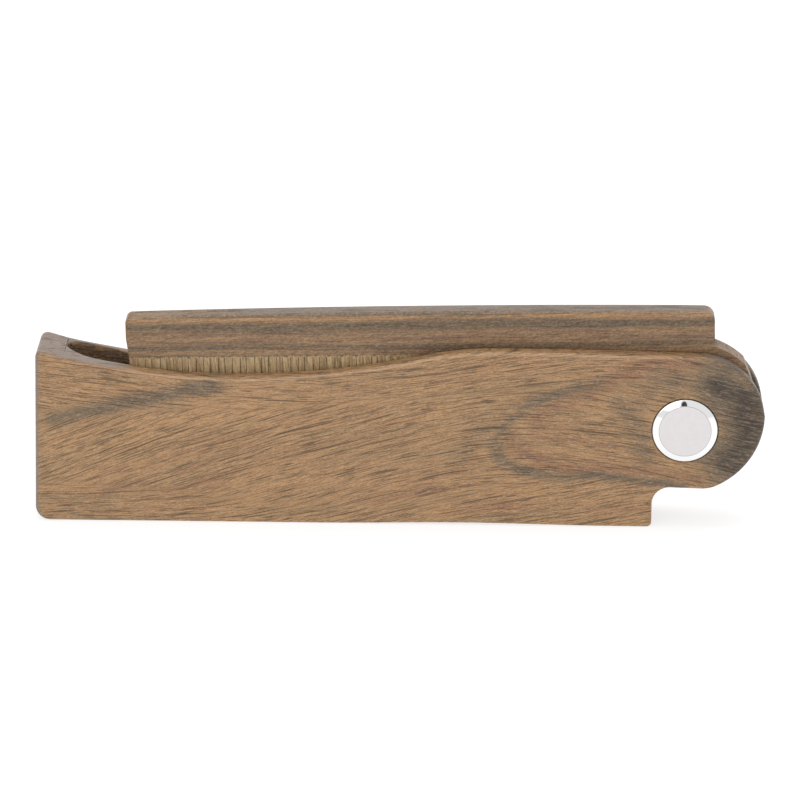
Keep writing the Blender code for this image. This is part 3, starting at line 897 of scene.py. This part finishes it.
def spine_outline():
    """The back and the tang as one outline, clockwise from the back's left foot."""
    foot = ROOT_LINE
    points = [(BACK_LEFT + LEFT_TAPER, foot), (BACK_LEFT, foot + (BACK_TOP - foot) / 2)]
    left_corner = (BACK_LEFT + BACK_CORNER_RADIUS, back_top(BACK_LEFT) - BACK_CORNER_RADIUS)
    points += arc(left_corner, BACK_CORNER_RADIUS, 180, 90, 8)
    span = BACK_RIGHT - BACK_LEFT - BACK_CORNER_RADIUS - BACK_END_RADIUS
    for step in range(1, 32):
        u = BACK_LEFT + BACK_CORNER_RADIUS + span * step / 32
        points.append((u, back_top(u)))
    right_corner = (BACK_RIGHT - BACK_END_RADIUS, back_top(BACK_RIGHT) - BACK_END_RADIUS)
    points += arc(right_corner, BACK_END_RADIUS, 90, 0, 12)
    arc_start = math.degrees(math.acos(BACK_RIGHT / TANG_ARC_RADIUS))
    points += arc((0, 0), TANG_ARC_RADIUS, arc_start, TANG_ARC_END, 12)
    edge = [points[-1]]
    for angle, radius in TANG_EDGE:
        turn = math.radians(angle)
        edge.append((radius * MM * math.cos(turn), radius * MM * math.sin(turn)))
    points += smooth_through(edge, 8)[1:]
    points.append((TANG_LEFT, foot))
    return points


def comb_to_frame(solid):
    """Turns a comb bmesh from its own frame to its closed place in the handle."""
    bmesh.ops.rotate(solid, matrix=Matrix.Rotation(-COMB_TILT, 3, "Y"), verts=solid.verts)
    bmesh.ops.translate(solid, vec=(PIVOT_X, 0, PIVOT_Z), verts=solid.verts)


def make_spine():
    """The comb's back bar and tang."""
    solid = plate(spine_outline(), COMB_THICKNESS)
    half = COMB_THICKNESS / 2
    back = []
    for edge in cap_edges(solid, half):
        if all(v.co.z > ROOT_LINE + 0.3 * MM and v.co.x < BACK_RIGHT + 0.1 * MM for v in edge.verts):
            back.append(edge)
    bevel_edges(solid, back, BACK_EDGE_RADIUS, 6)
    spine = new_object("spine_wood_body", solid)
    cut(spine, [new_object("tang_bore", rod(POST_RADIUS + BORE_CLEARANCE, -half - MM, half + MM, 0, 0))])
    solid = bmesh.new()
    solid.from_mesh(spine.data)
    bmesh.ops.remove_doubles(solid, verts=solid.verts, dist=1e-6)
    bmesh.ops.triangulate(solid, faces=solid.faces)
    comb_to_frame(solid)
    slice_grid(solid, SPINE_LOW, SPINE_HIGH, SPINE_GRID)
    solid.to_mesh(spine.data)
    solid.free()
    x, y, z = places(spine.data)
    turn = turned_away(spine.data)
    # Painted sheen on the back's rounded top
    turned_rims = rise(turn, *BACK_TURN) * (z > BACK_ABOVE)
    tang = rise(turn, *TANG_TURN) * rise(x, *TANG_GREY_X) * rise(z, *TANG_GREY_Z)
    store(spine.data, "rim", (turned_rims, tang, np.zeros(len(x))))
    shade(spine)
    return spine


def spine_wood():
    """Red-brown wood with dark stripes along the back, a grey end at the tang, a painted golden edge
    highlight and painted sheen on the back's top.
    """
    n = Nodes("spine_wood_finish")
    parts = n.split(n.scaled(n.object_place(), (1000, 1000, 1000)))
    slope = math.tan(COMB_TILT)
    height = n.math("SUBTRACT", parts[2], n.times(parts[0], slope))
    grain = n.vector(parts[0], height, parts[1])
    marks = grain_marks(n, grain, 41)
    slanted = n.math("SUBTRACT", height, n.times(parts[0], FIBRE_SLANT))
    slant_grain = n.vector(parts[0], slanted, parts[1])
    marks["fibre"] = n.noise(n.scaled(slant_grain, (0.8, 3.0, 1.5)), detail=3.0, roughness=0.7)
    fleck = n.noise(n.scaled(slant_grain, (1.2, 4.0, 3.0), (3, 1, 3)), detail=1.0)
    marks["fleck"] = n.times(n.ramp(fleck, 0.58, 0.76), 0.6)
    marks["pore"] = n.times(marks["pore"], 0.6)
    rag = n.ragged(marks)
    colour = n.mix(n.ramp(marks["streak"], 0.35, 0.62), OLIVE, SPINE_RED)
    # Painted highlight: a golden line where the back's rounding meets the front face
    highlight_gap = n.gap(height, BACK_HIGHLIGHT_HEIGHT)
    colour = n.mix(n.times(n.inverse(n.ramp(highlight_gap, 0.1, 0.45)), 0.7), colour, GOLD)
    for middle, half, strength in STRIPES:
        away = n.gap(height, middle)
        near = n.inverse(n.math("DIVIDE", away, half), clamp=True)
        share = n.ramp(n.math("ADD", near, rag), 0.1, 0.75)
        colour = n.mix(n.times(share, strength), colour, STRIPE)
    rim = n.split(n.attribute("rim"))
    colour = n.mix(n.times(rim[1], 0.85), colour, TANG_GREY)
    # Painted sheen on the back's top
    return finish_wood(n, colour, marks, 0.8, ((n.times(rim[0], 0.35), RIM_SHEEN_PAINT),))


def make_teeth():
    """The strip of teeth: one tapered blade at each pitch, joined by a band under the back."""
    top = ROOT_LINE
    left = BACK_LEFT + LEFT_TAPER
    right = TANG_LEFT - TANG_GAP
    first = left + GUARD_WIDTH + ROOT_GAP / 2
    count = int((right - GUARD_WIDTH - first) / TOOTH_PITCH) + 1
    gaps = [first + index * TOOTH_PITCH + GAP_JITTER * math.sin(index * 2.4) for index in range(count)]
    edges = [left] + gaps + [right]
    solid = bmesh.new()
    for index in range(len(edges) - 1):
        low_u = edges[index] + (ROOT_GAP / 2 if index else 0)
        high_u = edges[index + 1] - (ROOT_GAP / 2 if index < len(edges) - 2 else 0)
        middle = (edges[index] + edges[index + 1]) / 2
        add_tooth(solid, low_u, high_u, middle, top)
    comb_to_frame(solid)
    teeth = new_object("teeth_wood_body", solid)
    teeth.data.shade_smooth()
    teeth.data.set_sharp_from_angle(angle=math.radians(40))
    return teeth


def add_tooth(solid, low_u, high_u, middle, top):
    """One blade with rounded edges, thinner and narrower towards its tip."""
    root = (low_u + high_u) / 2
    root_half = (high_u - low_u) / 2
    low_w = top - ROOT_BAND
    rings = []
    for row in range(TOOTH_ROWS + 1):
        share = row / TOOTH_ROWS
        w = low_w - (low_w - TOOTH_TIP) * share
        half_u = root_half + (TIP_WIDTH / 2 - root_half) * share**TOOTH_CURVE
        below = max(0.0, (TAPER_TOP - w) / (TAPER_TOP - TOOTH_TIP))
        half_y = (COMB_THICKNESS + (TIP_THICKNESS - COMB_THICKNESS) * below) / 2
        if row == TOOTH_ROWS:
            half_u *= TIP_ROUNDING[0]
            half_y *= TIP_ROUNDING[1]
        centre = root + (middle - root) * share
        rings.append(blade_ring(solid, centre, half_u, half_y, w, min(TOOTH_CORNER, half_u * 0.4)))
    for low, high in zip(rings, rings[1:]):
        count = len(low)
        for index in range(count):
            after = (index + 1) % count
            solid.faces.new((low[index], low[after], high[after], high[index]))
    solid.faces.new(rings[-1])
    head, foot = [
        blade_ring(solid, root, root_half + ROOT_GAP / 2, COMB_THICKNESS / 2, w, 0.0) for w in (top, low_w)
    ]
    for index in range(4):
        after = (index + 1) % 4
        solid.faces.new((head[index], head[after], foot[after], foot[index]))
    solid.faces.new(head[::-1])
    solid.faces.new(foot)


def blade_ring(solid, centre, half_u, half_y, w, corner):
    """One cross-section of a tooth."""
    if corner == 0.0:
        ring = ((-half_u, -half_y), (half_u, -half_y), (half_u, half_y), (-half_u, half_y))
    else:
        inner_u, inner_y = half_u - corner, half_y - corner
        cut_off = corner * 0.3
        ring = (
            (-inner_u, -half_y), (inner_u, -half_y), (half_u - cut_off, -half_y + cut_off),
            (half_u, -inner_y), (half_u, inner_y), (half_u - cut_off, half_y - cut_off),
            (inner_u, half_y), (-inner_u, half_y), (-half_u + cut_off, half_y - cut_off),
            (-half_u, inner_y), (-half_u, -inner_y), (-half_u + cut_off, -half_y + cut_off),
        )
    return [solid.verts.new((centre + u, y, w)) for u, y in ring]


def teeth_wood():
    """Golden wood whose grain runs along the teeth."""
    n = Nodes("teeth_wood_finish")
    parts = n.split(n.scaled(n.object_place(), (1000, 1000, 1000)))
    lean = n.math("ADD", parts[0], n.times(parts[2], 0.1))
    grain = n.vector(parts[2], lean, parts[1])
    marks = grain_marks(n, grain, 53)
    streak = n.noise(n.scaled(grain, (0.08, 1.3, 0.5)), detail=4.0, roughness=0.75)
    pore = n.ramp(n.noise(n.scaled(grain, (0.15, 2.2, 1.0), (4, 4, 1)), detail=2.0), 0.55, 0.68)
    marks["pore"] = n.times(pore, 0.6)
    colour = n.mix(n.ramp(streak, 0.38, 0.62), TOOTH_BROWN, TOOTH_GOLD)
    height = n.math("SUBTRACT", parts[2], n.times(parts[0], math.tan(COMB_TILT)))
    ragged = n.math("ADD", height, n.times(n.math("SUBTRACT", streak, 0.5), 1.6))
    seam = n.ramp(ragged, SEAM_HEIGHT - 0.25, SEAM_HEIGHT)
    return finish_wood(n, colour, marks, 0.7, ((n.times(seam, 0.75), PORE),))


def lathe(name, profile, steps=96):
    """A closed solid turned about Z from radius and height pairs, from its outer centre to its inner one."""
    solid = bmesh.new()
    rings = []
    for radius, height in profile:
        if radius == 0:
            rings.append([solid.verts.new((0, 0, height))])
            continue
        ring = []
        for step in range(steps):
            angle = 2 * math.pi * step / steps
            ring.append(solid.verts.new((radius * math.cos(angle), radius * math.sin(angle), height)))
        rings.append(ring)
    for upper, lower in zip(rings, rings[1:]):
        for step in range(steps):
            after = (step + 1) % steps
            corners = [upper[step % len(upper)], lower[step % len(lower)], lower[after % len(lower)],
                       upper[after % len(upper)]]
            unique = []
            for corner in corners:
                if corner not in unique:
                    unique.append(corner)
            solid.faces.new(unique)
    bmesh.ops.recalc_face_normals(solid, faces=solid.faces)
    return new_object(name, solid)


def head_profile():
    """Outer side of a rivet head: flat face, rounded rim of the chamfer and rounded edge."""
    outer = HANDLE_THICKNESS / 2 + HEAD_PROUD
    low = outer - HEAD_CHAMFER_HEIGHT
    return [
        (0, outer),
        (HEAD_FLAT_RADIUS * 0.5, outer),
        (HEAD_FLAT_RADIUS - 0.1 * MM, outer),
        (HEAD_FLAT_RADIUS, outer - 0.008 * MM),
        (HEAD_FLAT_RADIUS + 0.06 * MM, outer - 0.025 * MM),
        (HEAD_FLAT_RADIUS + 0.12 * MM, outer - 0.045 * MM),
        (HEAD_RADIUS - 0.16 * MM, low + 0.065 * MM),
        (HEAD_RADIUS - 0.10 * MM, low + 0.040 * MM),
        (HEAD_RADIUS - 0.03 * MM, low),
        (HEAD_RADIUS, low - 0.06 * MM),
        (HEAD_RADIUS, outer - HEAD_THICKNESS),
    ]


def make_rivet():
    """The near head with the post."""
    inner = HANDLE_THICKNESS / 2 + HEAD_PROUD - HEAD_THICKNESS
    post_end = -(inner + POST_PAST_HEAD)
    profile = head_profile() + [(POST_RADIUS, inner), (POST_RADIUS, post_end), (0, post_end)]
    rivet = lathe("rivet_near", profile)
    place_round(rivet, 90)
    return rivet


def make_rivet_cap():
    """The far head."""
    inner = HANDLE_THICKNESS / 2 + HEAD_PROUD - HEAD_THICKNESS
    socket = POST_RADIUS + BORE_CLEARANCE
    profile = head_profile() + [(socket, inner), (socket, inner + SOCKET_DEPTH), (0, inner + SOCKET_DEPTH)]
    cap = lathe("rivet_far", profile)
    place_round(cap, -90)
    return cap


def place_round(obj, turn):
    """Turns a head to face along Y at the pivot, and shades it."""
    rotation = Matrix.Rotation(math.radians(turn), 4, "X")
    obj.data.transform(Matrix.Translation((PIVOT_X, 0, PIVOT_Z)) @ rotation)
    obj.data.shade_smooth()
    obj.data.set_sharp_from_angle(angle=math.radians(50))


def bright_metal():
    """Polished steel with faint scuffs."""
    n = Nodes("bright_metal_finish")
    place = n.scaled(n.object_place(), (1000, 1000, 1000))
    scuff = n.noise(n.scaled(place, (1.2, 1.2, 1.2)), detail=4.0, roughness=0.7)
    colour = n.mix(n.ramp(scuff, 0.3, 0.7), STEEL_DULL, STEEL_BRIGHT)
    parts = n.split(place)
    across = n.math("SUBTRACT", parts[0], PIVOT_X / MM)
    up = n.math("SUBTRACT", parts[2], PIVOT_Z / MM)
    square = n.math("ADD", n.times(across, across), n.times(up, up))
    radius = n.math("SQRT", square)
    flat = HEAD_FLAT_RADIUS / MM
    colour = n.mix(n.ramp(radius, flat - 0.05, flat + 0.1), colour, STEEL_RING)
    # A painted dark line where the flat face meets the chamfer
    dark_line_gap = n.gap(radius, flat)
    colour = n.mix(n.math("SUBTRACT", 0.6, n.ramp(dark_line_gap, 0.0, 0.12), clamp=True), colour, STEEL_DARK_LINE)
    n.put(n.shader.inputs["Base Color"], colour)
    n.shader.inputs["Metallic"].default_value = 1.0
    rough = n.math("ADD", 0.12, n.times(scuff, 0.08))
    n.put(n.shader.inputs["Roughness"], n.blend(n.ramp(radius, flat, flat + 0.1), rough, 0.05))
    return n.material


def make_studio():
    """A glowing floor, a dark lens by the camera, an even sky and the softboxes."""
    bpy.ops.mesh.primitive_plane_add(size=FLOOR_SIZE, location=(0, 0, 0))
    floor = bpy.context.object
    floor.name = "floor"
    paint = Nodes("floor_paint")
    paint.shader.inputs["Base Color"].default_value = (FLOOR_GREY, FLOOR_GREY, FLOOR_GREY, 1)
    paint.shader.inputs["Roughness"].default_value = 1.0
    paint.shader.inputs["Specular IOR Level"].default_value = 0.0
    paint.shader.inputs["Emission Color"].default_value = (1, 1, 1, 1)
    paint.shader.inputs["Emission Strength"].default_value = FLOOR_GLOW
    floor.data.materials.append(paint.material)
    bpy.ops.mesh.primitive_cylinder_add(radius=LENS_RADIUS, depth=LENS_DEPTH, location=LENS_PLACE)
    lens = bpy.context.object
    lens.name = "lens_reflection"
    lens.rotation_euler = (math.radians(LENS_TILT), 0, 0)
    glass = Nodes("lens_black")
    glass.shader.inputs["Base Color"].default_value = (0.01, 0.01, 0.01, 1)
    lens.data.materials.append(glass.material)
    world = bpy.data.worlds.new("studio")
    bpy.context.scene.world = world
    world.use_nodes = True
    world.node_tree.nodes["Background"].inputs["Color"].default_value = (1, 1, 1, 1)
    world.node_tree.nodes["Background"].inputs["Strength"].default_value = SKY_STRENGTH
    for name, place, size, power in SOFTBOXES:
        add_light(name, place, size, power)
    bpy.context.scene.view_settings.view_transform = "Standard"


def add_light(name, place, size, power):
    """A square softbox aimed at the comb."""
    light = bpy.data.lights.new(name, "AREA")
    light.size = size
    light.energy = power
    obj = bpy.data.objects.new(name, light)
    bpy.context.scene.collection.objects.link(obj)
    obj.location = place
    aim = Vector(SOFTBOX_TARGET) - Vector(place)
    obj.rotation_euler = aim.to_track_quat("-Z", "Y").to_euler()


def make_camera():
    """The photograph's view."""
    azimuth = math.radians(CAMERA_AZIMUTH)
    elevation = math.radians(CAMERA_ELEVATION)
    back = Vector((math.sin(azimuth) * math.cos(elevation), -math.cos(azimuth) * math.cos(elevation),
                   math.sin(elevation)))
    data = bpy.data.cameras.new("camera")
    data.sensor_width = SENSOR
    data.lens = CAMERA_FOCUS_PX * SENSOR / PHOTO_PX
    camera = bpy.data.objects.new("camera", data)
    bpy.context.scene.collection.objects.link(camera)
    camera.location = Vector(CAMERA_TARGET) + back * CAMERA_DISTANCE
    turn = back.to_track_quat("Z", "Y").to_matrix() @ Matrix.Rotation(math.radians(CAMERA_ROLL), 3, "Z")
    camera.rotation_euler = turn.to_euler()
    data.clip_start = 0.01
    bpy.context.scene.camera = camera


def dress(piece, material, body, node):
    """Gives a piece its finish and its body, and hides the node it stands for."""
    piece.data.materials.clear()
    piece.data.materials.append(material)
    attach(piece, body)
    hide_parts(node)


handle = make_handle()
write_grain(handle.data)
metal = bright_metal()
dress(handle, handle_wood(), "handle", "handle")
dress(make_rivet(), metal, "handle", "rivet")
dress(make_rivet_cap(), metal, "handle", "rivet_cap")
dress(make_spine(), spine_wood(), "comb", "comb_spine")
dress(make_teeth(), teeth_wood(), "comb", "comb_teeth")
make_studio()
make_camera()
